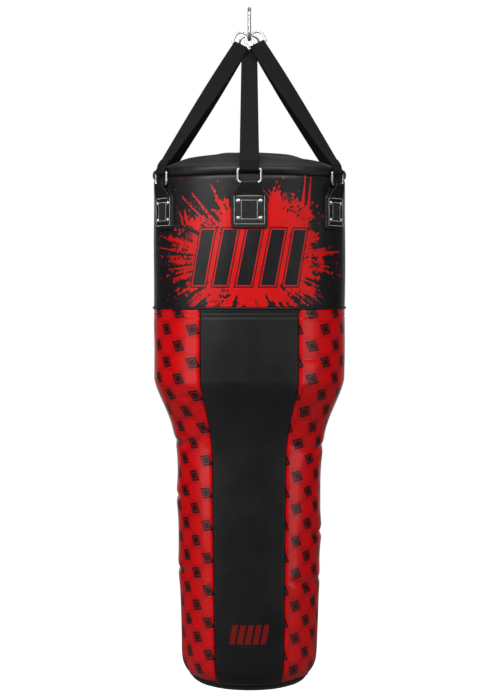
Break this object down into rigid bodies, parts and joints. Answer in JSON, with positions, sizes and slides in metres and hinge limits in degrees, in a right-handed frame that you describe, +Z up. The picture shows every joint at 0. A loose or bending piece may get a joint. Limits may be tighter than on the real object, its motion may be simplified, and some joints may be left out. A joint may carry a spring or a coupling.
{
  "type": "heavy punching bag",
  "caption": "Heavy punching bag with a wide barrel over a narrower body, domed lid and webbing straps that meet in a snap hook.",
  "frame": {"origin": "the point inside the top of the snap hook that bears on the support", "axes": "+Z up, front faces -Y, +X to the viewer's right"},
  "size_m": [0.4561, 0.4826, 1.5866],
  "materials": {
    "zinc_steel": "zinc plated, bright",
    "nickel_steel": "nickel plated, polished",
    "webbing": "woven polyester webbing, matt",
    "black_leather": "synthetic leather, semi-gloss",
    "printed_leather": "synthetic leather, semi-gloss, red brushed print",
    "red_leather": "synthetic leather, glossy, dark print",
    "tab_leather": "thick leather, satin",
    "foam": "foam sheet",
    "filling": "packed textile"
  },
  "bodies": {
    "carabiner": {"carabiner_body": "zinc_steel", "gate_pin": "zinc_steel"},
    "gate": {"carabiner_gate": "zinc_steel", "gate_spring": "zinc_steel"},
    "hook_rings": {"top_ring_left": "nickel_steel", "top_ring_centre": "nickel_steel", "top_ring_right": "nickel_steel"},
    "bag": {"strap_left": "webbing", "strap_centre": "webbing", "strap_right": "webbing", "lid": "black_leather", "rim_band": "black_leather", "barrel_shell": "printed_leather", "seam_piping": "black_leather", "front_panel": "black_leather", "back_panel": "black_leather", "side_panel_left": "red_leather", "side_panel_right": "red_leather", "base_panel": "black_leather", "base_loop": "webbing", "foam_liner": "foam", "textile_filling": "filling", "tab_rivets": "nickel_steel", "tab_sling_front": "tab_leather", "tab_sling_front_left": "tab_leather", "tab_sling_back_left": "tab_leather", "tab_sling_back": "tab_leather", "tab_sling_back_right": "tab_leather", "tab_sling_front_right": "tab_leather", "leather_tab_front": "tab_leather", "leather_tab_front_left": "tab_leather", "leather_tab_back_left": "tab_leather", "leather_tab_back": "tab_leather", "leather_tab_back_right": "tab_leather", "leather_tab_front_right": "tab_leather", "tab_patch_front": "tab_leather", "tab_patch_front_left": "tab_leather", "tab_patch_back_left": "tab_leather", "tab_patch_back": "tab_leather", "tab_patch_back_right": "tab_leather", "tab_patch_front_right": "tab_leather", "tab_insert_front": "webbing", "tab_insert_front_left": "webbing", "tab_insert_back_left": "webbing", "tab_insert_back": "webbing", "tab_insert_back_right": "webbing", "tab_insert_front_right": "webbing"},
    "anchor_ring_front": {"tab_ring_front": "nickel_steel"},
    "anchor_ring_front_left": {"tab_ring_front_left": "nickel_steel"},
    "anchor_ring_back_left": {"tab_ring_back_left": "nickel_steel"},
    "anchor_ring_back": {"tab_ring_back": "nickel_steel"},
    "anchor_ring_back_right": {"tab_ring_back_right": "nickel_steel"},
    "anchor_ring_front_right": {"tab_ring_front_right": "nickel_steel"}
  },
  "joints": [
    {"name": "gate_hinge", "type": "hinge", "parent": "carabiner", "child": "gate", "pos_m": [0, -0.016, -0.047], "axis": [-1, 0, 0], "range_deg": [0, 20], "stiffness_Nm_per_rad": 0.05, "springref_deg": -11.46},
    {"name": "swing_sideways", "type": "hinge", "parent": "carabiner", "child": "hook_rings", "pos_m": [0, 0, -0.068], "axis": [0, 1, 0], "range_deg": [-30, 30]},
    {"name": "swing_fore_aft", "type": "hinge", "parent": "hook_rings", "child": "bag", "pos_m": [0, 0.0015, -0.086], "axis": [1, 0, 0], "range_deg": [-10, 10]},
    {"name": "anchor_ring_front_rock", "type": "hinge", "parent": "bag", "child": "anchor_ring_front", "pos_m": [0, -0.2326, -0.3874], "axis": [-1, 0, 0], "range_deg": [0, 6]},
    {"name": "anchor_ring_front_left_rock", "type": "hinge", "parent": "bag", "child": "anchor_ring_front_left", "pos_m": [-0.20144, -0.1163, -0.3874], "axis": [-0.5, 0.866, 0], "range_deg": [0, 6]},
    {"name": "anchor_ring_back_left_rock", "type": "hinge", "parent": "bag", "child": "anchor_ring_back_left", "pos_m": [-0.20144, 0.1163, -0.3874], "axis": [0.5, 0.866, 0], "range_deg": [0, 6]},
    {"name": "anchor_ring_back_rock", "type": "hinge", "parent": "bag", "child": "anchor_ring_back", "pos_m": [0, 0.2326, -0.3874], "axis": [1, 0, 0], "range_deg": [0, 6]},
    {"name": "anchor_ring_back_right_rock", "type": "hinge", "parent": "bag", "child": "anchor_ring_back_right", "pos_m": [0.20144, 0.1163, -0.3874], "axis": [0.5, -0.866, 0], "range_deg": [0, 6]},
    {"name": "anchor_ring_front_right_rock", "type": "hinge", "parent": "bag", "child": "anchor_ring_front_right", "pos_m": [0.20144, -0.1163, -0.3874], "axis": [-0.5, -0.866, 0], "range_deg": [0, 6]}
  ]
}
